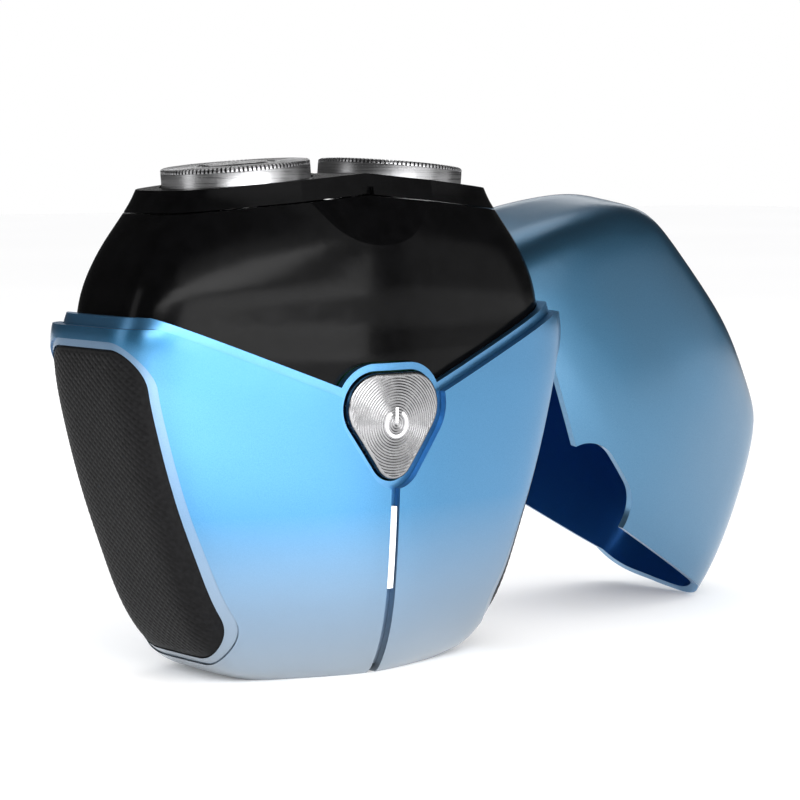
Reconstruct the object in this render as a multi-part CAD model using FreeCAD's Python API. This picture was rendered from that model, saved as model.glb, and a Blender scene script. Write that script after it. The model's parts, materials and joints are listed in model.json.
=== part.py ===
import FreeCAD, Part
import math
import os

# Pocket-size rotary shaver with two floating heads and a travel cap.
# Millimetres. Origin at the middle of the flat base, +Z up, front towards -Y.
# The cap is off, tipped on its rim behind the right side of the shaver.

Vector = FreeCAD.Vector

# --- Outer form: a rounded hexagon at every height -------------------------
# Each station is height, half width, corner half depth, ridge reach.
ROUNDNESS = 9.0
BODY_FORM = [
    (0.0, 17.9, 8.4, 13.2),
    (1.0, 20.6, 9.3, 14.3),
    (2.5, 23.0, 10.1, 15.2),
    (5.0, 25.4, 10.8, 16.3),
    (10.0, 28.5, 11.7, 17.6),
    (20.0, 32.4, 12.4, 18.7),
    (25.0, 34.1, 12.7, 19.0),
    (30.0, 35.6, 12.9, 19.2),
    (35.0, 36.95, 13.0, 19.4),
    (40.0, 38.1, 13.1, 19.5),
    (43.0, 38.6, 13.1, 19.5),
    (46.0, 38.9, 13.1, 19.5),
    (50.0, 38.5, 13.0, 19.3),
    (56.0, 36.8, 12.6, 18.7),
]
CAP_FORM = BODY_FORM[7:] + [
    (62.0, 34.2, 11.9, 17.7),
    (68.0, 31.0, 11.0, 16.5),
    (73.0, 27.8, 10.1, 15.1),
    (76.0, 25.2, 9.4, 13.9),
    (77.5, 23.2, 8.7, 12.8),
    (78.2, 21.2, 7.9, 11.6),
]
SHELL_WALL = 1.2
CHASSIS_INSET = 1.25
CHASSIS_WALL = 1.2
HOUSING_INSET = 2.65
HOUSING_WALL = 1.3
HOUSING_FORM = [
    (53.7, 35.0, 10.9, 17.0),
    (56.3, 34.0, 10.7, 16.9),
    (59.8, 32.2, 10.1, 16.65),
    (62.8, 30.3, 9.3, 16.1),
    (65.1, 28.8, 8.6, 15.5),
    (67.5, 27.4, 8.2, 14.9),
    (71.5, 25.8, 7.9, 13.9),
]

# --- Parting lines ---------------------------------------------------------
STEP_TIP = 36.3
STEP_SLOPE = 0.387
STEP_LEVEL = 49.7
LIP_HEIGHT = 1.45
LINE_GAP = 0.1
SKIRT_DEPTH = 4.0
GROOVE_HALF_WIDTH = 0.75
FOOT_REACH = 8.0
FOOT_RADIUS = 4.5

# --- Head seat: both top planes fall away to the sides like a roof ----------
ROOF_SLOPE = 0.088
SEAM_APEX = 67.4
TOP_APEX = 70.3
SEAM_GAP = 0.2
FACET_TIP_Y = 16.6
FACET_TIP_Z = 60.3
FACET_SLOPE = 0.535
FRAME_FACE_Y = 12.8
FRAME_FACE_SLOPE = 0.2

# --- Shaving heads and their drive ------------------------------------------
SPINDLE_X = 13.0
TILT_DEG = 5.0
TILT_CENTRE_Z = 63.7
HEAD_BASE = 5.72
HEAD_FLOAT = 1.2
RING_RADIUS = 10.5
RING_HEIGHT = 2.2
RING_SKIRT = 2.4
FLANGE_RADIUS = 11.3
FLANGE_THICKNESS = 0.8
FOIL_THICKNESS = 0.5
FOIL_TRACK_INNER = 6.2
SLOT_COUNT = 48
SLOT_WIDTH = 0.4
POCKET_RADIUS = 10.85
COUNTERBORE_RADIUS = 11.7
BLADE_COUNT = 9
HUB_RADIUS = 2.6
SOCKET_FLATS = 3.0
SPINDLE_RADIUS = 1.2
SPINDLE_TIP_FLATS = 2.0
RUNNING_GAP = 0.05
RETAINER_Z = 62.4
RETAINER_THICKNESS = 1.0
POST_Y = 8.6

MODULE = 0.5
GEAR_TEETH = 38
PINION_TEETH = 14
GEAR_Z = 55.4
GEAR_FACE = 1.8
LOWER_PLATE_Z = 53.4
UPPER_PLATE_Z = 58.6
PLATE_THICKNESS = 1.2
PLATE_POSTS = [(0.0, 8.4), (0.0, -8.4), (25.2, 0.0), (-25.2, 0.0)]

# --- Motor, cell and electronics --------------------------------------------
MOTOR_RADIUS = 8.5
MOTOR_FLAT = 6.8
MOTOR_LOW = 29.0
MOTOR_SHAFT_RADIUS = 1.0
CELL_RADIUS = 7.0
CELL_HALF_LENGTH = 21.5
CELL_Z = 15.6
BOARD_Y = -12.2
BOARD_THICKNESS = 1.0
PORT_Z = 8.0
PORT_HALF_WIDTH = 4.47
PORT_HALF_HEIGHT = 1.63

# --- Button: a rounded triangle, as the hull of three circles (x, z, radius) --
BUTTON_CIRCLES = [(3.0, 38.0, 4.8), (-3.0, 38.0, 4.8), (0.0, 31.2, 3.3)]
BUTTON_GAP = 0.3
COLLAR_WIDTH = 1.35
NOTCH_WIDTH = 1.6
BUTTON_BACK = -15.1
SWITCH_Z = 36.5

# --- Side grips: hull of four circles (y, z, radius) --------------------------
GRIP_CIRCLES = [(6.3, 41.6, 5.3), (-6.3, 41.6, 5.3), (-5.2, 10.1, 6.6), (5.2, 10.1, 6.6)]
GRIP_FLOOR = 0.75
GRIP_BEVEL_WIDTH = 1.0
GRIP_BEVEL_DEPTH = 0.25

LIGHT_LOW = 12.5
LIGHT_HIGH = 24.1
LIGHT_HALF_WIDTH = 0.5

# --- Cap -----------------------------------------------------------------------
CAP_WALL = 1.25
CAP_INNER_TOP = 76.9
CAP_PIVOT_Z = 50.0
CAP_TURN_DEG = 10.6
CAP_TIP_DEG = 50.6
CAP_YAW_DEG = -7.0
CAP_AT_X = 61.6
CAP_AT_Y = 16.2
CAP_AT_Z = 30.23

BIG = 80.0
BELOW = -5.0
LOFT_DEGREE = 3


def section(station, inset):
    """Closed smooth curve: a hexagon whose corners are rounded by a power mean."""
    height, half_width, corner, ridge = station
    sharp_ridge = ridge * 2.0 ** (1.0 / ROUNDNESS)
    slant = math.hypot(sharp_ridge - corner, half_width)
    normal_x = (sharp_ridge - corner) / slant
    normal_y = half_width / slant
    side_reach = half_width - inset
    face_reach = half_width * sharp_ridge / slant - inset
    points = []
    for step in range(64):
        angle = 2.0 * math.pi * step / 64.0
        along_x = abs(math.cos(angle))
        along_y = abs(math.sin(angle))
        total = (along_x / side_reach) ** ROUNDNESS
        total += ((normal_x * along_x + normal_y * along_y) / face_reach) ** ROUNDNESS
        far = max(0.0, normal_y * along_y - normal_x * along_x)
        total += (far / face_reach) ** ROUNDNESS
        radius = total ** (-1.0 / ROUNDNESS)
        points.append(Vector(radius * math.cos(angle), radius * math.sin(angle), height))
    curve = Part.BSplineCurve()
    curve.interpolate(Points=points, PeriodicFlag=True)
    return Part.Wire([curve.toShape()])


def loft(wires):
    return Part.makeLoft(wires, True, False, False, LOFT_DEGREE)


def form(stations, inset):
    return loft([section(station, inset) for station in stations])


def box(x_low, x_high, y_low, y_high, z_low, z_high):
    corner = Vector(x_low, y_low, z_low)
    return Part.makeBox(x_high - x_low, y_high - y_low, z_high - z_low, corner)


def cylinder(radius, z_low, z_high, x=0.0, y=0.0):
    return Part.makeCylinder(radius, z_high - z_low, Vector(x, y, z_low))


def hexagon(flats, z_low, z_high, x=0.0):
    reach = flats / math.sqrt(3.0)
    corners = []
    for step in range(7):
        angle = math.radians(60.0 * step)
        corners.append(Vector(x + reach * math.cos(angle), reach * math.sin(angle), z_low))
    return Part.Face(Part.makePolygon(corners)).extrude(Vector(0, 0, z_high - z_low))


def xz_prism(outline, y_low=-BIG, y_high=BIG):
    """Straight-sided outline in the XZ plane, carried along Y."""
    corners = [Vector(x, y_low, z) for x, z in outline + outline[:1]]
    return Part.Face(Part.makePolygon(corners)).extrude(Vector(0, y_high - y_low, 0))


def yz_prism(outline, x_low=-BIG, x_high=BIG):
    """Straight-sided outline in the YZ plane, carried along X."""
    corners = [Vector(x_low, y, z) for y, z in outline + outline[:1]]
    return Part.Face(Part.makePolygon(corners)).extrude(Vector(x_high - x_low, 0, 0))


def hull_face(circles, grow, place):
    """Face inside a belt stretched round circles listed anticlockwise."""
    normals = []
    for index, (u, v, radius) in enumerate(circles):
        next_u, next_v, next_radius = circles[(index + 1) % len(circles)]
        span = math.hypot(next_u - u, next_v - v)
        along = ((next_u - u) / span, (next_v - v) / span)
        lean = (radius - next_radius) / span
        rest = math.sqrt(1.0 - lean * lean)
        normals.append((lean * along[0] + rest * along[1], lean * along[1] - rest * along[0]))
    edges = []
    for index, (u, v, radius) in enumerate(circles):
        into = normals[index - 1]
        out = normals[index]
        middle = (into[0] + out[0], into[1] + out[1])
        size = math.hypot(*middle)
        middle = (middle[0] / size, middle[1] / size)
        reach = radius + grow
        start = place(u + reach * into[0], v + reach * into[1])
        halfway = place(u + reach * middle[0], v + reach * middle[1])
        end = place(u + reach * out[0], v + reach * out[1])
        edges.append(Part.Arc(start, halfway, end).toShape())
        next_u, next_v, next_radius = circles[(index + 1) % len(circles)]
        next_reach = next_radius + grow
        arrive = place(next_u + next_reach * out[0], next_v + next_reach * out[1])
        edges.append(Part.LineSegment(end, arrive).toShape())
    return Part.Face(Part.Wire(edges))


def button_prism(grow, y_low=-30.0, y_high=-10.0):
    face = hull_face(BUTTON_CIRCLES, grow, lambda u, v: Vector(u, y_low, v))
    return face.extrude(Vector(0, y_high - y_low, 0))


def grip_prism(grow, side):
    face = hull_face(GRIP_CIRCLES, grow, lambda u, v: Vector(0, u, v))
    return face.extrude(Vector(side * BIG, 0, 0))


def below_line(lift):
    """Everything under the parting line, a V at front and back and level at the sides."""
    knee = (STEP_LEVEL - STEP_TIP) / STEP_SLOPE
    level = STEP_LEVEL + lift
    line = [(BIG, level), (knee, level), (0.0, STEP_TIP + lift), (-knee, level), (-BIG, level)]
    return xz_prism([(-BIG, BELOW), (BIG, BELOW)] + line)


def below_roof(apex):
    drop = ROOF_SLOPE * BIG
    line = [(BIG, apex - drop), (0.0, apex), (-BIG, apex - drop)]
    return xz_prism([(-BIG, BELOW), (BIG, BELOW)] + line)


def between_facets(inward):
    """Space between the sloping facets at front and back, moved inward."""
    low = BELOW
    high = 90.0
    y_low = FACET_TIP_Y + FACET_SLOPE * (FACET_TIP_Z - low) - inward
    y_high = FACET_TIP_Y + FACET_SLOPE * (FACET_TIP_Z - high) - inward
    return yz_prism([(-y_low, low), (y_low, low), (y_high, high), (-y_high, high)])


def tilted(shape, side):
    """Carry a shape drawn round the Z axis to a head's leaning axis."""
    shape = shape.copy()
    shape.rotate(Vector(0, 0, 0), Vector(0, 1, 0), side * TILT_DEG)
    shape.translate(Vector(side * SPINDLE_X, 0, TILT_CENTRE_Z))
    return shape


def whole_body(inset, z_low):
    return form(BODY_FORM, inset).common(box(-BIG, BIG, -BIG, BIG, z_low, BIG))


def foot_prism(grow, z_low, z_high):
    """Oblong foot in the middle of the base."""
    radius = FOOT_RADIUS + grow
    foot = box(-FOOT_REACH, FOOT_REACH, -radius, radius, z_low, z_high)
    for side in (-1, 1):
        foot = foot.fuse(cylinder(radius, z_low, z_high, side * FOOT_REACH))
    return foot.removeSplitter()


def make_shells():
    shell = whole_body(0.0, 0.0).common(below_line(0.0))
    shell = shell.cut(whole_body(SHELL_WALL, SHELL_WALL))
    shell = shell.cut(button_prism(COLLAR_WIDTH))
    shell = shell.cut(port_prism(0.5))
    shell = shell.cut(foot_prism(RUNNING_GAP, BELOW, SHELL_WALL + 1.0))
    shells = {}
    for side, name in ((-1, "outer_shell_left"), (1, "outer_shell_right")):
        near = GROOVE_HALF_WIDTH
        half = shell.common(box(*sorted((side * near, side * BIG)), -BIG, BIG, BELOW, BIG))
        pocket = grip_prism(0.0, side).cut(form(BODY_FORM, GRIP_FLOOR))
        bevel = grip_prism(GRIP_BEVEL_WIDTH, side).cut(form(BODY_FORM, GRIP_BEVEL_DEPTH))
        shells[name] = half.cut(pocket).cut(bevel)
    return shells


def make_grips():
    grips = {}
    layer = form(BODY_FORM, GRIP_BEVEL_DEPTH).cut(form(BODY_FORM, GRIP_FLOOR - 0.02))
    for side, name in ((-1, "grip_pad_left"), (1, "grip_pad_right")):
        grips[name] = layer.common(grip_prism(-0.05, side))
    return grips


def make_chassis():
    arch = button_prism(COLLAR_WIDTH - 0.05)
    outer = whole_body(CHASSIS_INSET, CHASSIS_INSET)
    keep = below_line(LIP_HEIGHT).fuse(arch)
    chassis = outer.common(keep)
    inset = CHASSIS_INSET + CHASSIS_WALL
    chassis = chassis.cut(whole_body(inset, inset))
    chassis = chassis.fuse(foot_prism(0.0, 0.0, CHASSIS_INSET + 0.5))
    return chassis.cut(button_prism(BUTTON_GAP)).cut(port_prism(0.1))


def housing_form(inset):
    lower = [station for station in BODY_FORM if 30.0 <= station[0] <= 50.0]
    wires = [section(station, HOUSING_INSET + inset) for station in lower]
    wires += [section(station, inset) for station in HOUSING_FORM]
    return loft(wires)


def make_housing():
    line = LIP_HEIGHT + LINE_GAP
    outer = housing_form(0.0).common(between_facets(0.0)).common(below_roof(SEAM_APEX - SEAM_GAP))
    inner = housing_form(HOUSING_WALL).common(between_facets(HOUSING_WALL))
    housing = outer.cut(inner)
    housing = housing.cut(below_line(line - SKIRT_DEPTH))
    flange_low = HEAD_BASE - RING_SKIRT - FLANGE_THICKNESS
    for side in (-1, 1):
        room = cylinder(COUNTERBORE_RADIUS, flange_low - HEAD_FLOAT - 0.3, 15.0)
        housing = housing.cut(tilted(room, side))
    return housing.cut(button_prism(COLLAR_WIDTH + LINE_GAP))


def make_head_frame():
    slab = form(HOUSING_FORM, 0.0).common(below_roof(TOP_APEX)).cut(below_roof(SEAM_APEX))
    low = 60.0
    high = 75.0
    y_low = FRAME_FACE_Y + FRAME_FACE_SLOPE * (SEAM_APEX - low)
    y_high = FRAME_FACE_Y + FRAME_FACE_SLOPE * (SEAM_APEX - high)
    slab = slab.common(yz_prism([(-y_low, low), (y_low, low), (y_high, high), (-y_high, high)]))
    for side in (-1, 1):
        slab = slab.cut(tilted(cylinder(POCKET_RADIUS, 0.0, 15.0), side))
        slab = slab.cut(tilted(cylinder(COUNTERBORE_RADIUS, 0.0, HEAD_BASE - RING_SKIRT + 0.3), side))
    notch = box(-1.0, 1.0, -14.0, -11.9, SEAM_APEX - 0.5, SEAM_APEX + 1.0)
    latch = box(-1.3, 1.3, -1.6, 1.6, TOP_APEX - 0.7, TOP_APEX + 0.5)
    return slab.cut(notch).cut(latch)


def make_retainer():
    """Plate under both heads, hung from the frame by two posts, with spoked rings."""
    top = RETAINER_Z + RETAINER_THICKNESS
    plate = box(-2.6, 2.6, -POST_Y - 1.3, POST_Y + 1.3, RETAINER_Z, top)
    for side in (-1, 1):
        centre = side * SPINDLE_X
        ring = cylinder(10.6, RETAINER_Z, top, centre)
        plate = plate.fuse(ring.cut(cylinder(8.9, RETAINER_Z - 1.0, RETAINER_Z + 2.0, centre)))
        hub = cylinder(4.6, RETAINER_Z, top, centre)
        for spoke in range(3):
            arm = box(0.0, 9.6, -0.7, 0.7, RETAINER_Z, top)
            turn = 120.0 * spoke + (0.0 if side > 0 else 60.0)
            arm.rotate(Vector(0, 0, 0), Vector(0, 0, 1), turn)
            arm.translate(Vector(centre, 0, 0))
            hub = hub.fuse(arm)
        plate = plate.fuse(hub)
    for side in (-1, 1):
        plate = plate.cut(cylinder(3.5, RETAINER_Z - 1.0, RETAINER_Z + 2.0, side * SPINDLE_X))
        plate = plate.fuse(cylinder(1.2, RETAINER_Z, SEAM_APEX, 0.0, side * POST_Y))
    return plate.removeSplitter().common(below_roof(SEAM_APEX))


def make_ring():
    """Slotted shaving foil with its steel side wall and the flange that keeps it in."""
    base = HEAD_BASE
    top = base + RING_HEIGHT
    wall_low = base - RING_SKIRT
    flange_low = wall_low - FLANGE_THICKNESS
    inner = RING_RADIUS - 0.6
    profile = [
        (2.2, top - 0.15 - FOIL_THICKNESS),
        (inner, top - FOIL_THICKNESS),
        (inner, flange_low),
        (FLANGE_RADIUS, flange_low),
        (FLANGE_RADIUS, wall_low),
        (RING_RADIUS, wall_low),
        (RING_RADIUS, top - 0.35),
        (RING_RADIUS - 0.35, top),
        (FOIL_TRACK_INNER + 0.4, top),
        (FOIL_TRACK_INNER, top - 0.15),
        (2.2, top - 0.15),
    ]
    corners = [Vector(radius, 0, height) for radius, height in profile + profile[:1]]
    ring = Part.Face(Part.makePolygon(corners)).revolve(Vector(0, 0, 0), Vector(0, 0, 1), 360.0)
    slots = []
    for step in range(SLOT_COUNT):
        half = SLOT_WIDTH / 2.0
        slot = box(FOIL_TRACK_INNER + 0.6, RING_RADIUS - 0.9, -half, half, top - 0.8, top + 0.2)
        slot.rotate(Vector(0, 0, 0), Vector(0, 0, 1), 360.0 * step / SLOT_COUNT)
        slots.append(slot)
    return ring.cut(Part.makeCompound(slots))


def make_ring_hub():
    """Polished disc pressed into the middle of the foil."""
    top = HEAD_BASE + RING_HEIGHT
    disc = cylinder(4.6, top - 0.15, top + 0.15)
    return disc.fuse(cylinder(2.2, top - 0.15 - FOIL_THICKNESS, top - 0.15)).removeSplitter()


def make_cutter():
    """Rotor whose blades run just under the foil, with a hexagonal drive socket."""
    foil_under = HEAD_BASE + RING_HEIGHT - FOIL_THICKNESS
    blade_top = foil_under - 0.25
    disc_low = blade_top - 2.4
    cutter = cylinder(9.3, disc_low, disc_low + 0.7)
    cutter = cutter.fuse(cylinder(HUB_RADIUS, -0.8, disc_low + 0.7))
    for step in range(BLADE_COUNT):
        blade = box(6.7, 9.2, -0.35, 0.35, disc_low, blade_top)
        blade.rotate(Vector(0, 0, 0), Vector(0, 0, 1), 360.0 * step / BLADE_COUNT)
        cutter = cutter.fuse(blade)
        window = cylinder(1.1, disc_low - 1.0, disc_low + 2.0, 4.9)
        window.rotate(Vector(0, 0, 0), Vector(0, 0, 1), 360.0 * (step + 0.5) / BLADE_COUNT)
        cutter = cutter.cut(window)
    return cutter.cut(hexagon(SOCKET_FLATS, -1.8, HEAD_BASE - 1.9)).removeSplitter()


def make_gear(teeth, x, gap_at_zero):
    """Spur gear with straight-flanked teeth and running backlash."""
    pitch_radius = MODULE * teeth / 2.0
    root = pitch_radius - 1.25 * MODULE
    tip = pitch_radius + 0.8 * MODULE
    pitch_angle = 2.0 * math.pi / teeth
    phase = pitch_angle / 2.0 if gap_at_zero else 0.0
    root_half = 0.30 * pitch_angle
    tip_half = 0.12 * pitch_angle
    corners = []
    for tooth in range(teeth):
        middle = phase + tooth * pitch_angle
        flanks = ((root, -root_half), (tip, -tip_half), (tip, tip_half), (root, root_half))
        for radius, offset in flanks:
            angle = middle + offset
            corners.append(Vector(x + radius * math.cos(angle), radius * math.sin(angle), GEAR_Z))
    corners.append(corners[0])
    return Part.Face(Part.makePolygon(corners)).extrude(Vector(0, 0, GEAR_FACE))


def make_drive():
    drive = {}
    for side, name in ((-1, "left"), (1, "right")):
        centre = side * SPINDLE_X
        gear = make_gear(GEAR_TEETH, centre, True)
        gear = gear.cut(cylinder(SPINDLE_RADIUS, GEAR_Z - 1.0, GEAR_Z + 4.0, centre))
        drive["drive_gear_" + name] = gear
        spindle = cylinder(SPINDLE_RADIUS, LOWER_PLATE_Z + 0.1, 61.0, centre)
        spindle = spindle.fuse(hexagon(SPINDLE_TIP_FLATS, 61.0, 65.0, centre))
        drive["drive_spindle_" + name] = spindle
    pinion = make_gear(PINION_TEETH, 0.0, False)
    drive["motor_pinion"] = pinion.cut(cylinder(MOTOR_SHAFT_RADIUS, GEAR_Z - 1.0, GEAR_Z + 4.0))
    drive["motor_shaft"] = cylinder(MOTOR_SHAFT_RADIUS, 48.0, 57.8)
    return drive


def make_plates():
    low = LOWER_PLATE_Z
    slab = box(-BIG, BIG, -BIG, BIG, low, low + PLATE_THICKNESS)
    lower = housing_form(HOUSING_WALL + RUNNING_GAP).common(slab)
    top = UPPER_PLATE_Z + PLATE_THICKNESS
    upper = box(-23.0, 23.0, -9.8, 9.8, UPPER_PLATE_Z, top)
    upper = upper.fuse(box(-27.2, 27.2, -2.6, 2.6, UPPER_PLATE_Z, top))
    for x, y in PLATE_POSTS:
        lower = lower.fuse(cylinder(1.4, low, UPPER_PLATE_Z, x, y))
        lower = lower.cut(cylinder(0.7, UPPER_PLATE_Z - 3.0, UPPER_PLATE_Z + 0.1, x, y))
        upper = upper.cut(cylinder(0.9, UPPER_PLATE_Z - 1.0, UPPER_PLATE_Z + 3.0, x, y))
    for side in (-1, 1):
        bush = cylinder(SPINDLE_RADIUS + RUNNING_GAP, low - 1.0, 62.0, side * SPINDLE_X)
        lower = lower.cut(bush)
        upper = upper.cut(bush)
    lower = lower.cut(cylinder(3.0, low - 1.0, low + 3.0))
    upper = upper.cut(cylinder(2.6, UPPER_PLATE_Z - 1.0, UPPER_PLATE_Z + 3.0))
    return {"motor_plate": lower.removeSplitter(), "gear_plate": upper.removeSplitter()}


def make_plate_screws():
    top = UPPER_PLATE_Z + PLATE_THICKNESS
    screws = []
    for x, y in PLATE_POSTS:
        screw = cylinder(0.7, UPPER_PLATE_Z - 2.8, top, x, y)
        screw = screw.fuse(cylinder(1.4, top, top + 0.9, x, y))
        screw = screw.cut(box(x - 0.9, x + 0.9, y - 0.15, y + 0.15, top + 0.5, top + 1.0))
        screws.append(screw.removeSplitter())
    return Part.makeCompound(screws)


def make_motor():
    can = cylinder(MOTOR_RADIUS, MOTOR_LOW, LOWER_PLATE_Z - 0.6)
    can = can.common(box(-BIG, BIG, -MOTOR_FLAT, MOTOR_FLAT, 0.0, BIG))
    can = can.fuse(cylinder(2.8, LOWER_PLATE_Z - 0.6, LOWER_PLATE_Z + 0.6))
    return can.cut(cylinder(MOTOR_SHAFT_RADIUS + RUNNING_GAP, 47.8, 60.0)).removeSplitter()


def make_cell():
    start = Vector(-CELL_HALF_LENGTH, 0, CELL_Z)
    cell = Part.makeCylinder(CELL_RADIUS, 2 * CELL_HALF_LENGTH, start, Vector(1, 0, 0))
    nub = Part.makeCylinder(2.5, 0.8, Vector(CELL_HALF_LENGTH, 0, CELL_Z), Vector(1, 0, 0))
    return cell.fuse(nub).removeSplitter()


def port_prism(grow):
    """Oblong hole for the charging socket at the back."""
    radius = PORT_HALF_HEIGHT + grow
    reach = PORT_HALF_WIDTH - PORT_HALF_HEIGHT
    circles = [(reach, PORT_Z, radius), (-reach, PORT_Z, radius)]
    slot = box(-reach, reach, 9.0, 30.0, PORT_Z - radius, PORT_Z + radius)
    for x, z, size in circles:
        slot = slot.fuse(Part.makeCylinder(size, 21.0, Vector(x, 9.0, z), Vector(0, 1, 0)))
    return slot.removeSplitter()


def make_port():
    shell = port_prism(0.0).common(box(-BIG, BIG, 10.0, 16.9, 0.0, BIG))
    hollow = port_prism(-0.3).common(box(-BIG, BIG, 11.0, BIG, 0.0, BIG))
    tongue = box(-3.3, 3.3, 11.0, 16.0, PORT_Z - 0.35, PORT_Z + 0.35)
    return shell.cut(hollow).fuse(tongue).removeSplitter()


def make_board():
    board = box(-10.0, 10.0, BOARD_Y, BOARD_Y + BOARD_THICKNESS, 25.0, 47.0)
    face = BOARD_Y + BOARD_THICKNESS
    for x, z in ((-5.5, 30.0), (5.5, 29.0), (-6.0, 44.0)):
        board = board.fuse(box(x - 2.0, x + 2.0, face, face + 1.2, z - 1.5, z + 1.5))
    return board.removeSplitter()


def make_switch():
    body = box(-2.6, 2.6, BOARD_Y - 1.6, BOARD_Y, SWITCH_Z - 2.6, SWITCH_Z + 2.6)
    nub = Part.makeCylinder(1.2, 0.5, Vector(0, BOARD_Y - 2.1, SWITCH_Z), Vector(0, 1, 0))
    return body.fuse(nub).removeSplitter()


def make_button():
    """Metal face flush with the shells, with a stem and a flange that holds it in."""
    front = form(BODY_FORM, 0.2)
    face = button_prism(0.0, -30.0, -17.0).common(front)
    stem = box(-3.0, 3.0, -17.4, BUTTON_BACK, SWITCH_Z - 3.0, SWITCH_Z + 3.0)
    flange = hull_face(BUTTON_CIRCLES, 0.6, lambda u, v: Vector(u, BUTTON_BACK - 0.6, v))
    return face.fuse(stem).fuse(flange.extrude(Vector(0, 0.6, 0))).removeSplitter()


def make_light():
    layer = form(BODY_FORM, 0.3).cut(form(BODY_FORM, CHASSIS_INSET))
    strip = box(-LIGHT_HALF_WIDTH, LIGHT_HALF_WIDTH, -BIG, 0.0, LIGHT_LOW, LIGHT_HIGH)
    return layer.common(strip)


def make_cap():
    outer = form(CAP_FORM, 0.0).cut(below_line(0.15))
    inner = form(CAP_FORM, CAP_WALL).common(box(-BIG, BIG, -BIG, BIG, 0.0, CAP_INNER_TOP))
    cap = outer.cut(inner).cut(button_prism(NOTCH_WIDTH))
    cap.translate(Vector(0, 0, -CAP_PIVOT_Z))
    cap.rotate(Vector(0, 0, 0), Vector(0, 0, 1), CAP_TURN_DEG)
    cap.rotate(Vector(0, 0, 0), Vector(0, 1, 0), CAP_TIP_DEG)
    cap.rotate(Vector(0, 0, 0), Vector(0, 0, 1), CAP_YAW_DEG)
    cap.translate(Vector(CAP_AT_X, CAP_AT_Y, CAP_AT_Z))
    return cap


def make_all():
    nodes = {}
    nodes.update(make_shells())
    nodes.update(make_grips())
    nodes["inner_chassis"] = make_chassis()
    nodes["head_housing"] = make_housing()
    nodes["head_frame"] = make_head_frame()
    nodes["cutter_retainer"] = make_retainer()
    for side, name in ((-1, "left"), (1, "right")):
        nodes["shaving_ring_" + name] = tilted(make_ring(), side)
        nodes["ring_hub_" + name] = tilted(make_ring_hub(), side)
        nodes["cutter_" + name] = tilted(make_cutter(), side)
    nodes.update(make_drive())
    nodes.update(make_plates())
    nodes["plate_screws"] = make_plate_screws()
    nodes["motor_can"] = make_motor()
    nodes["battery_cell"] = make_cell()
    nodes["circuit_board"] = make_board()
    nodes["charging_port"] = make_port()
    nodes["button_switch"] = make_switch()
    nodes["power_button"] = make_button()
    nodes["light_strip"] = make_light()
    nodes["travel_cap"] = make_cap()
    return nodes


os.makedirs("parts", exist_ok=True)
for name, shape in make_all().items():
    shape.exportStep("parts/" + name + ".step")
    print(name, "solids", len(shape.Solids), "valid", shape.isValid(), "volume", round(shape.Volume, 1))
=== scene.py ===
import json
import math

import bpy
import bmesh
import numpy as np
from mathutils import Matrix, Vector
from mathutils.bvhtree import BVHTree


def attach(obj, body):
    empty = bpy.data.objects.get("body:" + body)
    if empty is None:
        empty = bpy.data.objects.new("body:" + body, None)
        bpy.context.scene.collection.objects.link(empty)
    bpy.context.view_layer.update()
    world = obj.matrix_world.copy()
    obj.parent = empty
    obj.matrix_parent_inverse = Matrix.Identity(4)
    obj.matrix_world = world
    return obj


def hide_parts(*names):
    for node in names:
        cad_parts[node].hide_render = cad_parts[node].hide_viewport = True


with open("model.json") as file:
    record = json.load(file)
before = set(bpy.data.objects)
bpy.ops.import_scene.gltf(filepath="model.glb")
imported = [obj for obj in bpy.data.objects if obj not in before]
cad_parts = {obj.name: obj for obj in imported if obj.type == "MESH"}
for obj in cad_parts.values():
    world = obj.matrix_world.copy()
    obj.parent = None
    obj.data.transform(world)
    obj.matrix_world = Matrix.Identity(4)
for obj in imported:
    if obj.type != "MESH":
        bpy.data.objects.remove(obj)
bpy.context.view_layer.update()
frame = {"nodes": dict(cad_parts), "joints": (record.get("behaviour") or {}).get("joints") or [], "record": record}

MM = 0.001
nodes = frame["nodes"]
joints = {joint["name"]: joint for joint in frame["joints"]}

# --- Camera ------------------------------------------------------------------
CAMERA_AZIMUTH = -37.86
CAMERA_ELEVATION = 4.92
CAMERA_DISTANCE = 399.3 * MM
CAMERA_LENS = 124.5
CAMERA_AIM = (10.4 * MM, -6.6 * MM, 37.6 * MM)

# --- Shaving rings -------------------------------------------------------------
RING_TOP = 7.92
RING_RADIUS = 10.5
RING_WALL = 0.6
RING_LOW = 3.32
FLANGE_RADIUS = 11.3
FLANGE_THICKNESS = 0.8
TOOTH_COUNT = 108
TOOTH_SHARE = 0.56
TOOTH_HEIGHT = 0.6
FOIL_INNER = 6.4
HUB_RADIUS = 4.6
WALL_STEPS = 360
WALL_CHAMFER = 0.1
WALL_TOP_INSET = 0.05
TOOTH_RIM_HEIGHT = 0.32
TOOTH_RIM_CHAMFER = 0.08
TOOTH_CROWN = 0.12
TOOTH_TOP_INSET = 0.3
TOOTH_OVERLAP = 0.05
LAND_STEPS = 240
LAND_DEPTH = 0.65
LAND_WIDTH = 0.7
LAND_CHAMFER = 0.08
LAND_SLOPE = 0.85
LAND_FLOOR = 0.15
LAND_UNDER_HUB = 0.3
DISC_STEPS = 160
DISC_DEPTH = 0.6
DISC_HEIGHT = 0.11
DISC_CENTRE_HEIGHT = 0.13
DISC_EDGE = 0.02
DISC_CHAMFER = 0.12
DISC_WAVE_STEPS = 56
DISC_WAVE = 0.02
PIN_HOLE = 0.001

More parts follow.
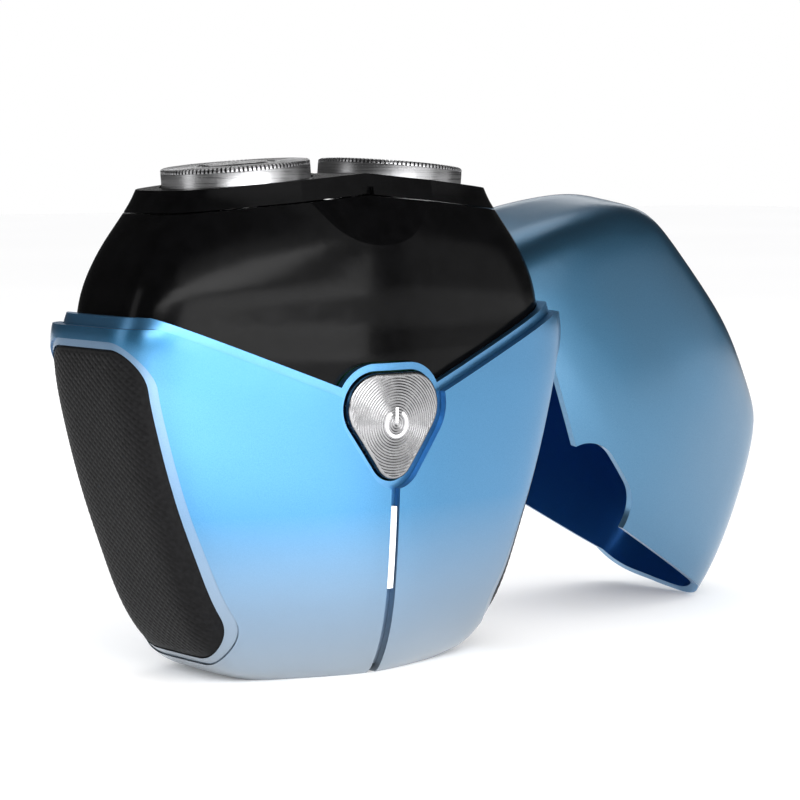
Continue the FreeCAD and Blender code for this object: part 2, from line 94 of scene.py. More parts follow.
# --- Button ----------------------------------------------------------------------
BUTTON_CIRCLES = [(3.0, 38.0, 4.8), (-3.0, 38.0, 4.8), (0.0, 31.2, 3.3)]
GROOVE_CENTRE = (0.0, 35.7)
GROOVE_PITCH = 0.39
GROOVE_DEPTH = 0.07
BUTTON_BORDER = 0.42
BORDER_FADE = 0.15
BUTTON_ROUNDING = 0.3
BUTTON_DEPTH = 1.6
BUTTON_STEPS = 240
STEPS_PER_GROOVE = 6.0
BUTTON_REACH = 9.0
BUTTON_FRONT_LIMIT = -16.0
ICON_BAR_HEIGHTS = (0.1, 0.8, 1.5, 2.3)
ICON_ARC_STEPS = 48
ICON_RADIUS = 1.75
ICON_LINE = 0.42
ICON_OPENING_DEG = 32.0
ICON_RAISED = -0.11
ICON_SUNK = 0.06

# --- Grips -------------------------------------------------------------------------
GRIP_CIRCLES = [(6.3, 41.6, 5.3), (-6.3, 41.6, 5.3), (-5.2, 10.1, 6.6), (5.2, 10.1, 6.6)]
SCALE_WIDTH = 1.3
SCALE_HEIGHT = 1.0
SCALE_RELIEF = 0.12
BEZEL_WIDTH = 1.0
GRIP_MARGIN = 0.07
GRIP_MESH_STEP = 0.13
GRIP_SKIN = 0.3
SCALE_FADE_FROM = 0.5
SCALE_FADE = 0.5
GRIP_EDGE = 0.35
GRIP_EDGE_DROP = 0.15
GRIP_RAY_FROM = 0.06
GRIP_MIDDLE_Z = 26.0

# --- Cap: how it lies ------------------------------------------------------------
CAP_TURN = 10.6
CAP_TIP = 50.6
CAP_YAW = -7.0
RIM_SLOPE = 0.387
RIM_MATCH = 0.9995
NOTCH_WALL_FROM = 11.0
NOTCH_MATCH = 0.03


# --- Paint ---------------------------------------------------------------------------
# Pale silvery tint faded in towards the floor: a painted reflection of the white floor on the shiny blue.
FLOOR_REFLECTION_TINT = (0.30, 0.35, 0.40)
FLOOR_REFLECTION_FADE = (1.0 * MM, 24.0 * MM)
WALL_THICKNESS_LIMIT = 2.2 * MM


# --- Materials -----------------------------------------------------------------------
class Paint:
    """A node material and its shader, with short ways to add the usual nodes."""

    def __init__(self, name):
        self.material = bpy.data.materials.new(name)
        self.material.use_nodes = True
        self.tree = self.material.node_tree
        self.shader = self.tree.nodes["Principled BSDF"]
        self.coordinates = self.tree.nodes.new("ShaderNodeTexCoord").outputs["Object"]

    def set(self, **values):
        for name, value in values.items():
            self.shader.inputs[name.replace("_", " ")].default_value = value
        return self

    def noise(self, scale, detail=3.0, stretch=(1.0, 1.0, 1.0), source=None):
        mapping = self.tree.nodes.new("ShaderNodeMapping")
        mapping.inputs["Scale"].default_value = stretch
        self.tree.links.new(source or self.coordinates, mapping.inputs["Vector"])
        noise = self.tree.nodes.new("ShaderNodeTexNoise")
        noise.inputs["Scale"].default_value = scale
        noise.inputs["Detail"].default_value = detail
        self.tree.links.new(mapping.outputs["Vector"], noise.inputs["Vector"])
        return noise.outputs["Fac"]

    def between(self, factor, low, high, start=0.3, end=0.7):
        """Number that runs from low to high as the factor runs from start to end."""
        span = self.tree.nodes.new("ShaderNodeMapRange")
        span.inputs["From Min"].default_value = start
        span.inputs["From Max"].default_value = end
        span.inputs["To Min"].default_value = low
        span.inputs["To Max"].default_value = high
        self.tree.links.new(factor, span.inputs["Value"])
        return span.outputs["Result"]

    def colours(self, factor, first, second, start=0.35, end=0.65):
        ramp = self.tree.nodes.new("ShaderNodeValToRGB")
        ramp.color_ramp.elements[0].position = start
        ramp.color_ramp.elements[0].color = (*first, 1.0)
        ramp.color_ramp.elements[1].position = end
        ramp.color_ramp.elements[1].color = (*second, 1.0)
        self.tree.links.new(factor, ramp.inputs["Fac"])
        self.link(ramp.outputs["Color"], "Base Color")
        return self

    def fade_down(self, colour, low, high):
        """Fade the base colour into another towards the floor, as a painted reflection of the pale floor."""
        height = self.tree.nodes.new("ShaderNodeSeparateXYZ")
        self.tree.links.new(self.coordinates, height.inputs["Vector"])
        share = self.between(height.outputs["Z"], 1.0, 0.0, low, high)
        mix = self.tree.nodes.new("ShaderNodeMix")
        mix.data_type = "RGBA"
        before = self.shader.inputs["Base Color"].links[0].from_socket
        self.tree.links.new(share, mix.inputs["Factor"])
        self.tree.links.new(before, mix.inputs["A"])
        mix.inputs["B"].default_value = (*colour, 1.0)
        self.link(mix.outputs["Result"], "Base Color")

    def link(self, output, socket):
        self.tree.links.new(output, self.shader.inputs[socket])
        return self

    def bump(self, height, distance, strength=1.0):
        bump = self.tree.nodes.new("ShaderNodeBump")
        bump.inputs["Distance"].default_value = distance
        bump.inputs["Strength"].default_value = strength
        self.tree.links.new(height, bump.inputs["Height"])
        return self.link(bump.outputs["Normal"], "Normal")


def satin_paint(name, first, second, rough=0.33, metal=0.9, coat=0.2, foot=None):
    """Metallic paint: fine flakes in the colour, an even satin sheen, and if asked a paler foot that is a painted
    reflection of the floor.
    """
    paint = Paint(name).set(Metallic=metal, Coat_Weight=coat, Coat_Roughness=0.22)
    flakes = paint.noise(9000.0, 2.0)
    paint.colours(flakes, first, second)
    if foot:
        paint.fade_down(foot, *FLOOR_REFLECTION_FADE)
    paint.link(paint.between(paint.noise(220.0, 4.0), rough - 0.015, rough + 0.02), "Roughness")
    return paint.bump(flakes, 0.000004, 0.35).material


def gloss_black():
    paint = Paint("piano_black").set(Specular_IOR_Level=0.09)
    paint.colours(paint.noise(400.0), (0.0012, 0.0012, 0.0013), (0.002, 0.002, 0.0022))
    paint.link(paint.between(paint.noise(90.0, 5.0), 0.17, 0.21), "Roughness")
    return paint.bump(paint.noise(1600.0, 2.0), 0.000002, 0.3).material


def plain_plastic(name, first, second, rough=0.5):
    paint = Paint(name)
    paint.colours(paint.noise(700.0, 4.0), first, second)
    paint.link(paint.between(paint.noise(900.0), rough - 0.06, rough + 0.06), "Roughness")
    return paint.bump(paint.noise(3000.0, 2.0), 0.00001, 0.4).material


def brushed_steel(name, first, second, rough=0.24, stretch=(60.0, 60.0, 4000.0)):
    """Steel with fine parallel scratches."""
    paint = Paint(name).set(Metallic=1.0)
    lines = paint.noise(1.0, 3.0, stretch)
    paint.colours(lines, first, second)
    paint.link(paint.between(lines, rough - 0.06, rough + 0.08), "Roughness")
    return paint.bump(lines, 0.000004, 0.5).material


def embossed_rubber():
    paint = Paint("embossed_rubber").set(Specular_IOR_Level=0.10)
    paint.colours(paint.noise(1500.0, 4.0), (0.0035, 0.0035, 0.0038), (0.0070, 0.0070, 0.0075))
    paint.link(paint.between(paint.noise(2500.0), 0.42, 0.56), "Roughness")
    return paint.bump(paint.noise(6000.0, 2.0), 0.000012, 0.5).material


def milky_lens_painted_glow():
    # Faint white emission: a painted glow that brightens the unlit lens.
    paint = Paint("milky_lens_painted_glow").set(Roughness=0.35, Emission_Strength=0.05)
    paint.set(Emission_Color=(1.0, 1.0, 1.0, 1.0))
    paint.colours(paint.noise(800.0), (0.86, 0.88, 0.90), (0.93, 0.94, 0.95))
    return paint.material


blue = satin_paint("satin_blue", (0.042, 0.200, 0.390), (0.056, 0.232, 0.440), 0.33, 0.95, 0.7, FLOOR_REFLECTION_TINT)
# Darker blue for the shells' cut edge walls: painted shade, as these walls are seen in shadow.
blue_edge_painted_shade = satin_paint(
    "blue_edge_painted_shade", (0.045, 0.150, 0.290), (0.055, 0.170, 0.320), 0.38, 0.9, 0.2, FLOOR_REFLECTION_TINT
)
# The chassis blue is paler than the shell's: painted light that lifts the lip and grooves where the chassis sits
# in shade.
blue_chassis = satin_paint(
    "blue_chassis", (0.075, 0.250, 0.470), (0.090, 0.280, 0.520), 0.36, 0.95, 0.5, FLOOR_REFLECTION_TINT
)
# Paler blue for the shell's bezel round each grip: a painted highlight of the light caught on the bevel.
blue_bezel_painted_highlight = satin_paint(
    "blue_bezel_painted_highlight", (0.150, 0.260, 0.400), (0.170, 0.290, 0.440), 0.30, 0.95, 0.5, FLOOR_REFLECTION_TINT
)
cap_outside = satin_paint("cap_outside", (0.055, 0.175, 0.300), (0.070, 0.200, 0.340), 0.36, 0.95, 0.7)
cap_inside = satin_paint("cap_inside", (0.006, 0.080, 0.290), (0.010, 0.095, 0.330), 0.34, 0.8)
cap_rim = satin_paint("cap_rim", (0.140, 0.300, 0.480), (0.160, 0.330, 0.520), 0.30)
black = gloss_black()
dark_plastic = plain_plastic("dark_plastic", (0.020, 0.020, 0.022), (0.034, 0.034, 0.037))
gear_plastic = plain_plastic("gear_plastic", (0.66, 0.64, 0.58), (0.74, 0.72, 0.66), 0.4)
cell_wrap = plain_plastic("cell_wrap", (0.05, 0.28, 0.14), (0.07, 0.34, 0.17), 0.3)
board_green = plain_plastic("board_green", (0.01, 0.10, 0.04), (0.02, 0.14, 0.06), 0.35)
steel = brushed_steel("ring_steel", (0.50, 0.50, 0.51), (0.58, 0.58, 0.59), 0.30, (60.0, 60.0, 9000.0))
blade_steel = brushed_steel("blade_steel", (0.30, 0.30, 0.31), (0.46, 0.46, 0.47), 0.3)
motor_steel = brushed_steel("motor_steel", (0.42, 0.42, 0.43), (0.55, 0.55, 0.56), 0.35)
brass = brushed_steel("brass", (0.58, 0.42, 0.17), (0.72, 0.54, 0.24), 0.3)
chrome = brushed_steel("spun_chrome", (0.23, 0.23, 0.234), (0.28, 0.28, 0.284), 0.22, (900.0, 900.0, 900.0))
rubber = embossed_rubber()
lens = milky_lens_painted_glow()
icon_white = plain_plastic("icon_white", (0.72, 0.72, 0.73), (0.80, 0.80, 0.81), 0.3)

SLOT_LOOKS = {
    "blue_shell": blue,
    "blue_chassis": blue_chassis,
    "black_housing": black,
    "dark_plastic": dark_plastic,
    "steel_foil": steel,
    "chrome": chrome,
    "blade_steel": blade_steel,
    "gear_plastic": gear_plastic,
    "brass": brass,
    "motor_steel": motor_steel,
    "cell_wrap": cell_wrap,
    "board": board_green,
    "button_metal": chrome,
    "light_lens": lens,
    "grip_rubber": rubber,
    "cap_blue": cap_outside,
}


def dress_cad_nodes():
    for part in frame["record"]["subparts"]:
        mesh = nodes[part["node"]].data
        mesh.materials.clear()
        mesh.materials.append(SLOT_LOOKS[part["material_slot"]])


def dress_shell(side, name):
    """Give a shell's cut edges a darker blue as painted shade, and the bezel round its grip a paler blue as a
    painted highlight.
    """
    mesh = nodes[name].data
    tree = BVHTree.FromPolygons([v.co for v in mesh.vertices], [tuple(p.vertices) for p in mesh.polygons])
    mesh.materials.append(blue_edge_painted_shade)
    mesh.materials.append(blue_bezel_painted_highlight)
    centres = np.array([(face.center.y, face.center.z) for face in mesh.polygons]) / MM
    bezel_outline = belt_outline([(u, v, radius + BEZEL_WIDTH) for u, v, radius in GRIP_CIRCLES])
    depth = outline_distance(centres, bezel_outline)[0]
    step = 0.02 * MM
    for face in mesh.polygons:
        behind = tree.ray_cast(face.center - face.normal * step, -face.normal, WALL_THICKNESS_LIMIT)
        if depth[face.index] > 0.0 and side * face.center.x > 0.0:
            # Bezel faces take the paler blue of the painted highlight.
            face.material_index = 2
        elif behind[0] is None:
            # Cut edge walls take the darker blue of painted shade.
            face.material_index = 1


def dress_cap():
    """Give the cap's rim and its inside paints of their own."""
    mesh = nodes["travel_cap"].data
    mesh.materials.append(cap_rim)
    mesh.materials.append(cap_inside)
    rooms = [Vector(corner) for room in frame["record"]["physics"]["openings"] for corner in room["box_m"]]
    centre = sum(rooms, Vector((0.0, 0.0, 0.0))) / len(rooms)
    turn = Matrix.Rotation(math.radians(CAP_YAW), 3, "Z")
    turn = turn @ Matrix.Rotation(math.radians(CAP_TIP), 3, "Y")
    turn = turn @ Matrix.Rotation(math.radians(CAP_TURN), 3, "Z")
    slope = math.atan(RIM_SLOPE)
    rims = [turn @ Vector((side * math.sin(slope * step), 0.0, -math.cos(slope * step)))
            for side, step in ((1, 0), (1, 1), (-1, 1))]
    front = turn @ Vector((0.0, 1.0, 0.0))
    for face in mesh.polygons:
        flat = max(face.normal.dot(rim) for rim in rims) > RIM_MATCH
        off_axis = abs((face.center - centre).dot(front)) > NOTCH_WALL_FROM * MM
        notch = off_axis and abs(face.normal.dot(front)) < NOTCH_MATCH
        if flat or notch:
            face.material_index = 1
        elif face.normal.dot(face.center - centre) < 0.0:
            face.material_index = 2


# --- Mesh helpers ------------------------------------------------------------------------
def new_piece(name, vertices, faces, body, material, replaced, smooth_angle=None):
    mesh = bpy.data.meshes.new(name)
    mesh.from_pydata([tuple(v) for v in vertices], [], [tuple(f) for f in faces])
    bm = bmesh.new()
    bm.from_mesh(mesh)
    bmesh.ops.recalc_face_normals(bm, faces=bm.faces)
    bm.to_mesh(mesh)
    bm.free()
    mesh.materials.append(material)
    piece = bpy.data.objects.new(name, mesh)
    bpy.context.scene.collection.objects.link(piece)
    if smooth_angle is not None:
        mesh.shade_smooth()
        mesh.set_sharp_from_angle(angle=math.radians(smooth_angle))
    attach(piece, body)
    if replaced:
        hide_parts(replaced)
    return piece


def belt_outline(circles, steps=48):
    """Points round a belt stretched over circles that are listed anticlockwise."""
    outline = []
    normals = []
    for index, (u, v, radius) in enumerate(circles):
        next_u, next_v, next_radius = circles[(index + 1) % len(circles)]
        heading = math.atan2(next_v - v, next_u - u)
        lean = math.asin((radius - next_radius) / math.hypot(next_u - u, next_v - v))
        normals.append(heading - math.pi / 2.0 + lean)
    for index, (u, v, radius) in enumerate(circles):
        start = normals[index - 1]
        turn = (normals[index] - start) % (2.0 * math.pi)
        for step in range(steps + 1):
            angle = start + turn * step / steps
            outline.append((u + radius * math.cos(angle), v + radius * math.sin(angle)))
    return np.array(outline)


def outline_distance(points, outline):
    """Depth inside a convex outline (negative outside), and the nearest point on it."""
    best = np.full(len(points), 1e9)
    nearest = np.zeros_like(points)
    inside = np.ones(len(points), bool)
    for start, end in zip(outline, np.roll(outline, -1, axis=0)):
        edge = end - start
        length = edge @ edge
        if length < 1e-12:
            continue
        offset = points - start
        share = np.clip(offset @ edge / length, 0.0, 1.0)
        foot = start + share[:, None] * edge
        gap = np.hypot(*(points - foot).T)
        closer = gap < best
        best[closer] = gap[closer]
        nearest[closer] = foot[closer]
        inside &= edge[0] * offset[:, 1] - edge[1] * offset[:, 0] > 0.0
    return np.where(inside, best, -best), nearest


def trim(points, faces, outline):
    """Keep the faces that reach inside the outline, and pull their outer corners onto it."""
    depth, nearest = outline_distance(points, outline)
    kept = [f for f in faces if max(depth[i] for i in f) > 0.0]
    used = sorted({i for f in kept for i in f})
    place = {old: new for new, old in enumerate(used)}
    points = np.where(depth[:, None] > 0.0, points, nearest)[used]
    depth = np.maximum(depth[used], 0.0)
    return points, [tuple(place[i] for i in f) for f in kept], depth


def rim_loop(faces):
    """Vertices round the open edge of a sheet, in order."""
    edges = set()
    for face in faces:
        for a, b in zip(face, face[1:] + face[:1]):
            if (b, a) in edges:
                edges.remove((b, a))
            else:
                edges.add((a, b))
    following = dict(edges)
    start = next(iter(sorted(following)))
    loop = [start]
    while following[loop[-1]] != start:
        loop.append(following[loop[-1]])
    return loop


def close_sheet(vertices, faces, shift):
    """Close a sheet into a solid: walls down from its rim, and a floor."""
    loop = rim_loop(faces)
    base = len(vertices)
    vertices = list(vertices) + [Vector(vertices[i]) + shift for i in loop]
    faces = list(faces)
    count = len(loop)
    for step in range(count):
        after = (step + 1) % count
        faces.append((loop[after], loop[step], base + step, base + after))
    faces.append(tuple(base + step for step in range(count)))
    return vertices, faces


def lathe(profile, steps, place):
    """Closed ring from a closed outline of (radius, height)."""
    vertices = []
    faces = []
    count = len(profile)
    for step in range(steps):
        angle = 2.0 * math.pi * step / steps
        for radius, height in profile:
            vertices.append(place @ Vector((radius * math.cos(angle), radius * math.sin(angle), height)))
    for step in range(steps):
        near = step * count
        far = (step + 1) % steps * count
        for index in range(count):
            after = (index + 1) % count
            faces.append((near + index, far + index, far + after, near + after))
    return vertices, faces


# --- Shaving rings ------------------------------------------------------------------------
def head_place(joint_name):
    """Matrix from a head's own millimetres, round +Z, to the frame."""
    axis = Vector(joints[joint_name]["axis"])
    turn = Vector((0.0, 0.0, 1.0)).rotation_difference(axis).to_matrix().to_4x4()
    spot = Vector(joints[joint_name]["pos_m"])
    return Matrix.Translation(spot) @ turn @ Matrix.Scale(MM, 4)


def make_ring(name):
    place = head_place("cutter_spin_" + name)
    inner = RING_RADIUS - RING_WALL
    tooth_low = RING_TOP - TOOTH_HEIGHT
    wall = [
        (inner, tooth_low),
        (inner, RING_LOW - FLANGE_THICKNESS),
        (FLANGE_RADIUS, RING_LOW - FLANGE_THICKNESS),
        (FLANGE_RADIUS, RING_LOW),
        (RING_RADIUS, RING_LOW),
        (RING_RADIUS, tooth_low - WALL_CHAMFER),
        (RING_RADIUS - WALL_TOP_INSET, tooth_low),
    ]
    vertices, faces = lathe(wall, WALL_STEPS, place)
    land = [
        (HUB_RADIUS - LAND_UNDER_HUB, RING_TOP - LAND_DEPTH),
        (FOIL_INNER, RING_TOP - LAND_DEPTH),
        (FOIL_INNER, RING_TOP - LAND_CHAMFER),
        (FOIL_INNER - LAND_CHAMFER, RING_TOP),
        (FOIL_INNER - LAND_WIDTH, RING_TOP),
        (FOIL_INNER - LAND_SLOPE, RING_TOP - LAND_FLOOR),
        (HUB_RADIUS - LAND_UNDER_HUB, RING_TOP - LAND_FLOOR),
    ]
    more, more_faces = lathe(land, LAND_STEPS, place)
    faces += [tuple(i + len(vertices) for i in f) for f in more_faces]
    vertices += more
    tooth = [
        (FOIL_INNER - TOOTH_OVERLAP, tooth_low),
        (RING_RADIUS, tooth_low),
        (RING_RADIUS, RING_TOP - TOOTH_RIM_HEIGHT),
        (RING_RADIUS - TOOTH_RIM_CHAMFER, RING_TOP - TOOTH_CROWN),
        (RING_RADIUS - TOOTH_TOP_INSET, RING_TOP),
        (FOIL_INNER - TOOTH_OVERLAP, RING_TOP),
    ]
    count = len(tooth)
    pitch = 2.0 * math.pi / TOOTH_COUNT
    for index in range(TOOTH_COUNT):
        base = len(vertices)
        for share in (-0.5, 0.5):
            angle = pitch * (index + share * TOOTH_SHARE)
            for radius, height in tooth:
                spot = Vector((radius * math.cos(angle), radius * math.sin(angle), height))
                vertices.append(place @ spot)
        faces.append(tuple(base + i for i in range(count)))
        faces.append(tuple(base + count + i for i in reversed(range(count))))
        for i in range(count):
            after = (i + 1) % count
            faces.append((base + i, base + count + i, base + count + after, base + after))
    cad_node = "shaving_ring_" + name
    new_piece("slotted_ring_" + name, vertices, faces, "ring_" + name, steel, cad_node, 35)

    disc = [
        (PIN_HOLE, RING_TOP - DISC_DEPTH),
        (HUB_RADIUS, RING_TOP - DISC_DEPTH),
        (HUB_RADIUS, RING_TOP + DISC_EDGE),
    ]
    for step in range(DISC_WAVE_STEPS):
        radius = (HUB_RADIUS - DISC_CHAMFER) * (1.0 - step / DISC_WAVE_STEPS)
        groove = DISC_WAVE * math.cos(step * math.pi / 2.0)
        disc.append((radius, RING_TOP + DISC_HEIGHT + groove))
    disc.append((PIN_HOLE, RING_TOP + DISC_CENTRE_HEIGHT))
    vertices, faces = lathe(disc, DISC_STEPS, place)
    new_piece("ring_disc_" + name, vertices, faces, "ring_" + name, chrome, "ring_hub_" + name, 35)


# --- Button ----------------------------------------------------------------------------------
def button_surface():
    """Gentle curve fitted to the front of the button's CAD face: y as a function of x and z."""
    mesh = nodes["power_button"].data
    tree = BVHTree.FromPolygons([v.co for v in mesh.vertices], [tuple(p.vertices) for p in mesh.polygons])
    rows = []
    values = []
    for x in np.linspace(-6.0, 6.0, 25):
        for z in np.linspace(30.0, 41.0, 23):
            hit = tree.ray_cast(Vector((x * MM, -0.05, z * MM)), Vector((0.0, 1.0, 0.0)))
            if hit[0] is not None and hit[0].y < BUTTON_FRONT_LIMIT * MM:
                rows.append([1.0, x * x, z, z * z])
                values.append(hit[0].y / MM)
    fit = np.linalg.lstsq(np.array(rows), np.array(values), rcond=None)[0]
    return lambda x, z: fit[0] + fit[1] * x * x + fit[2] * z + fit[3] * z * z


def make_button():
    surface = button_surface()
    outline = belt_outline(BUTTON_CIRCLES)
    angles = BUTTON_STEPS
    step = GROOVE_PITCH / STEPS_PER_GROOVE
    rings = int(BUTTON_REACH / step)
    points = [GROOVE_CENTRE]
    faces = []
    for ring in range(1, rings):
        for index in range(angles):
            angle = 2.0 * math.pi * index / angles
            points.append((
                GROOVE_CENTRE[0] + ring * step * math.cos(angle),
                GROOVE_CENTRE[1] + ring * step * math.sin(angle),
            ))
    for index in range(angles):
        after = (index + 1) % angles
        faces.append((0, 1 + index, 1 + after))
        for ring in range(rings - 2):
            near = 1 + ring * angles
            far = near + angles
            faces.append((near + index, far + index, far + after, near + after))
    points, faces, depth = trim(np.array(points), faces, outline)
    radius = np.hypot(points[:, 0] - GROOVE_CENTRE[0], points[:, 1] - GROOVE_CENTRE[1])
    groove = 0.5 - 0.5 * np.cos(2.0 * math.pi * radius / GROOVE_PITCH)
    groove *= np.clip((depth - BUTTON_BORDER) / BORDER_FADE, 0.0, 1.0)
    edge = np.clip(1.0 - depth / BUTTON_BORDER, 0.0, 1.0)
    drop = GROOVE_DEPTH * groove + BUTTON_ROUNDING * (1.0 - np.sqrt(1.0 - np.minimum(edge, 1.0) ** 2))
    vertices = [
        Vector((x * MM, (surface(x, z) + low) * MM, z * MM)) for (x, z), low in zip(points, drop)
    ]
    vertices, faces = close_sheet(vertices, faces, Vector((0.0, BUTTON_DEPTH * MM, 0.0)))
    new_piece("spun_button", vertices, faces, "button", chrome, "power_button", 40)

    icon_vertices = []
    icon_faces = []

    def bar(strip):
        """Raised strip from pairs of outline points, closed all round."""
        base = len(icon_vertices)
        for (ax, az), (bx, bz) in strip:
            section = ((ax, az, ICON_RAISED), (bx, bz, ICON_RAISED), (bx, bz, ICON_SUNK), (ax, az, ICON_SUNK))
            for x, z, lift in section:
                icon_vertices.append(Vector((x * MM, (surface(x, z) + lift) * MM, z * MM)))
        for step in range(len(strip) - 1):
            near = base + 4 * step
            for side in range(4):
                after = (side + 1) % 4
                icon_faces.append((near + side, near + 4 + side, near + 4 + after, near + after))
        last = base + 4 * (len(strip) - 1)
        icon_faces.append((base, base + 1, base + 2, base + 3))
        icon_faces.append((last + 3, last + 2, last + 1, last))

    centre_x, centre_z = GROOVE_CENTRE
    arc = []
    for step in range(ICON_ARC_STEPS + 1):
        sweep = (360.0 - 2.0 * ICON_OPENING_DEG) * step / ICON_ARC_STEPS
        angle = math.radians(90.0 + ICON_OPENING_DEG + sweep)
        pair = []
        for reach in (ICON_RADIUS - ICON_LINE / 2.0, ICON_RADIUS + ICON_LINE / 2.0):
            pair.append((centre_x + reach * math.cos(angle), centre_z + reach * math.sin(angle)))
        arc.append(pair)
    bar(arc)
    half = ICON_LINE / 2.0
    bar([
        ((centre_x - half, centre_z + height), (centre_x + half, centre_z + height))
        for height in ICON_BAR_HEIGHTS
    ])
    new_piece("power_icon", icon_vertices, icon_faces, "button", icon_white, None, 30)


# --- Grips --------------------------------------------------------------------------------------
def make_grip(side, name):
    mesh = nodes["grip_pad_" + name].data
    tree = BVHTree.FromPolygons([v.co for v in mesh.vertices], [tuple(p.vertices) for p in mesh.polygons])
    outline = belt_outline([(u, v, radius - GRIP_MARGIN) for u, v, radius in GRIP_CIRCLES])
    step = GRIP_MESH_STEP
    low_y, low_z = outline.min(axis=0) - step
    high_y, high_z = outline.max(axis=0) + step
    across = int((high_y - low_y) / step) + 1
    upward = int((high_z - low_z) / step) + 1
    points = np.array([(low_y + i * step, low_z + j * step) for j in range(upward) for i in range(across)])
    faces = []
    for j in range(upward - 1):
        for i in range(across - 1):
            corner = j * across + i
            faces.append((corner, corner + 1, corner + across + 1, corner + across))
    points, faces, depth = trim(points, faces, outline)
    u = points[:, 0] / SCALE_WIDTH
    v = points[:, 1] / SCALE_HEIGHT
    first = np.abs((u + v) % 1.0 - 0.5) * 2.0
    second = np.abs((u - v) % 1.0 - 0.5) * 2.0
    valley = np.clip(np.maximum(first, second), 0.0, 1.0)
    lean = ((u + v) % 1.0 + (v - u) % 1.0) / 2.0
    bump = (1.0 - valley ** 3) * (0.55 + 0.45 * lean)
    bump *= np.clip((depth - SCALE_FADE_FROM) / SCALE_FADE, 0.0, 1.0)
    edge = np.clip(1.0 - depth / GRIP_EDGE, 0.0, 1.0)
    drop = SCALE_RELIEF * (1.0 - bump) + GRIP_EDGE_DROP * edge ** 2
    vertices = []
    start_x = side * GRIP_RAY_FROM
    inward = Vector((-side, 0.0, 0.0))
    for (y, z), low in zip(points, drop):
        hit = tree.ray_cast(Vector((start_x, y * MM, z * MM)), inward)[0]
        # A point on the pad's very edge can miss it, so it takes the depth just inside.
        if hit is None:
            near_y = y * 0.98
            near_z = GRIP_MIDDLE_Z + (z - GRIP_MIDDLE_Z) * 0.985
            hit = tree.ray_cast(Vector((start_x, near_y * MM, near_z * MM)), inward)[0]
        vertices.append(Vector((hit.x - side * low * MM, y * MM, z * MM)))
    vertices, faces = close_sheet(vertices, faces, Vector((-side * GRIP_SKIN * MM, 0.0, 0.0)))
    new_piece("scaled_grip_" + name, vertices, faces, "handle", rubber, "grip_pad_" + name, 50)


dress_cad_nodes()
dress_cap()
for side, name in ((-1, "left"), (1, "right")):
    dress_shell(side, "outer_shell_" + name)
for side, name in ((-1, "left"), (1, "right")):
    make_ring(name)
    make_grip(side, name)
make_button()


# --- Studio ---------------------------------------------------------------------------------------
def make_floor():
    mesh = bpy.data.meshes.new("studio_floor")
    half = 3.0
    corners = [(-half, -half, 0), (half, -half, 0), (half, half, 0), (-half, half, 0)]
    mesh.from_pydata(corners, [], [(0, 1, 2, 3)])
    floor = bpy.data.objects.new("studio_floor", mesh)
    bpy.context.scene.collection.objects.link(floor)
    paint = Paint("studio_floor").set(Roughness=0.9, Specular_IOR_Level=0.2)
    paint.set(Emission_Color=(1.0, 1.0, 1.0, 1.0), Emission_Strength=0.12)
    paint.colours(paint.noise(3.0), (0.90, 0.90, 0.905), (0.92, 0.92, 0.925))
    mesh.materials.append(paint.material)


def softbox(name, spot, aim, width, height, power):
    light = bpy.data.lights.new(name, "AREA")
    light.shape = "RECTANGLE"
    light.size = width
    light.size_y = height
    light.energy = power
    lamp = bpy.data.objects.new(name, light)
    lamp.location = spot
    lamp.rotation_mode = "QUATERNION"
    lamp.rotation_quaternion = (Vector(aim) - Vector(spot)).to_track_quat("-Z", "Y")
    bpy.context.scene.collection.objects.link(lamp)


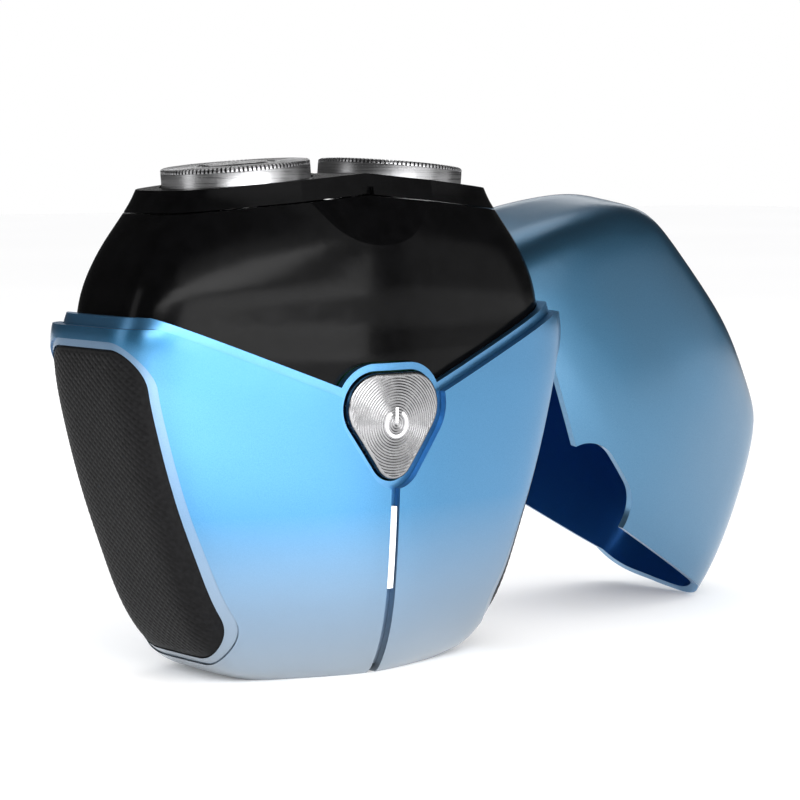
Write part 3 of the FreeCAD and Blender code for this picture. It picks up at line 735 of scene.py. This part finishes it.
def make_world(seen, lit):
    """Backdrop: pale to the camera and on the floor, dim in reflections."""
    world = bpy.data.worlds.new("studio")
    world.use_nodes = True
    tree = world.node_tree
    tree.nodes.clear()
    path = tree.nodes.new("ShaderNodeLightPath")
    either = tree.nodes.new("ShaderNodeMath")
    either.operation = "MAXIMUM"
    tree.links.new(path.outputs["Is Camera Ray"], either.inputs[0])
    tree.links.new(path.outputs["Is Diffuse Ray"], either.inputs[1])
    mix = tree.nodes.new("ShaderNodeMixShader")
    output = tree.nodes.new("ShaderNodeOutputWorld")
    for index, level in ((1, lit), (2, seen)):
        shade = tree.nodes.new("ShaderNodeBackground")
        shade.inputs["Color"].default_value = (level, level, level, 1.0)
        tree.links.new(shade.outputs["Background"], mix.inputs[index])
    tree.links.new(either.outputs["Value"], mix.inputs["Fac"])
    tree.links.new(mix.outputs["Shader"], output.inputs["Surface"])
    bpy.context.scene.world = world


def make_camera():
    azimuth = math.radians(CAMERA_AZIMUTH)
    elevation = math.radians(CAMERA_ELEVATION)
    back = Vector((
        math.sin(azimuth) * math.cos(elevation),
        -math.cos(azimuth) * math.cos(elevation),
        math.sin(elevation),
    ))
    data = bpy.data.cameras.new("camera")
    data.lens = CAMERA_LENS
    data.sensor_width = 36.0
    data.clip_start = 0.01
    camera = bpy.data.objects.new("camera", data)
    camera.location = Vector(CAMERA_AIM) + back * CAMERA_DISTANCE
    camera.rotation_mode = "QUATERNION"
    camera.rotation_quaternion = (-back).to_track_quat("-Z", "Y")
    bpy.context.scene.collection.objects.link(camera)
    bpy.context.scene.camera = camera


make_floor()
middle = Vector((0.0, 0.0, 0.04))
# Softboxes: name, place, width, height and radiance.
for name, spot, width, height, radiance in (
    ("front_low", (0.10, -0.60, 0.065), 0.44, 0.12, 5.2),
    ("front_high", (0.10, -0.60, 0.30), 0.70, 0.26, 1.0),
    ("right", (0.60, -0.34, 0.12), 0.35, 0.26, 0.55),
    ("left_back", (-0.52, 0.20, 0.20), 0.16, 0.26, 1.4),
    ("left_panel", (-0.25, -0.55, 0.34), 0.12, 0.22, 0.7),
    ("top", (0.10, 0.35, 0.60), 0.60, 0.35, 1.2),
    ("cap_edge", (0.50, 0.52, 0.30), 0.50, 0.12, 1.6),
):
    softbox(name, spot, middle, width, height, radiance * math.pi * width * height)
softbox("floor_glow", (-0.10, -0.20, 0.10), (-0.10, -0.20, 0.0), 0.24, 0.16, 0.95)
make_world(1.0, 0.05)
make_camera()

bpy.context.scene.view_settings.view_transform = "Standard"
bpy.context.view_layer.update()
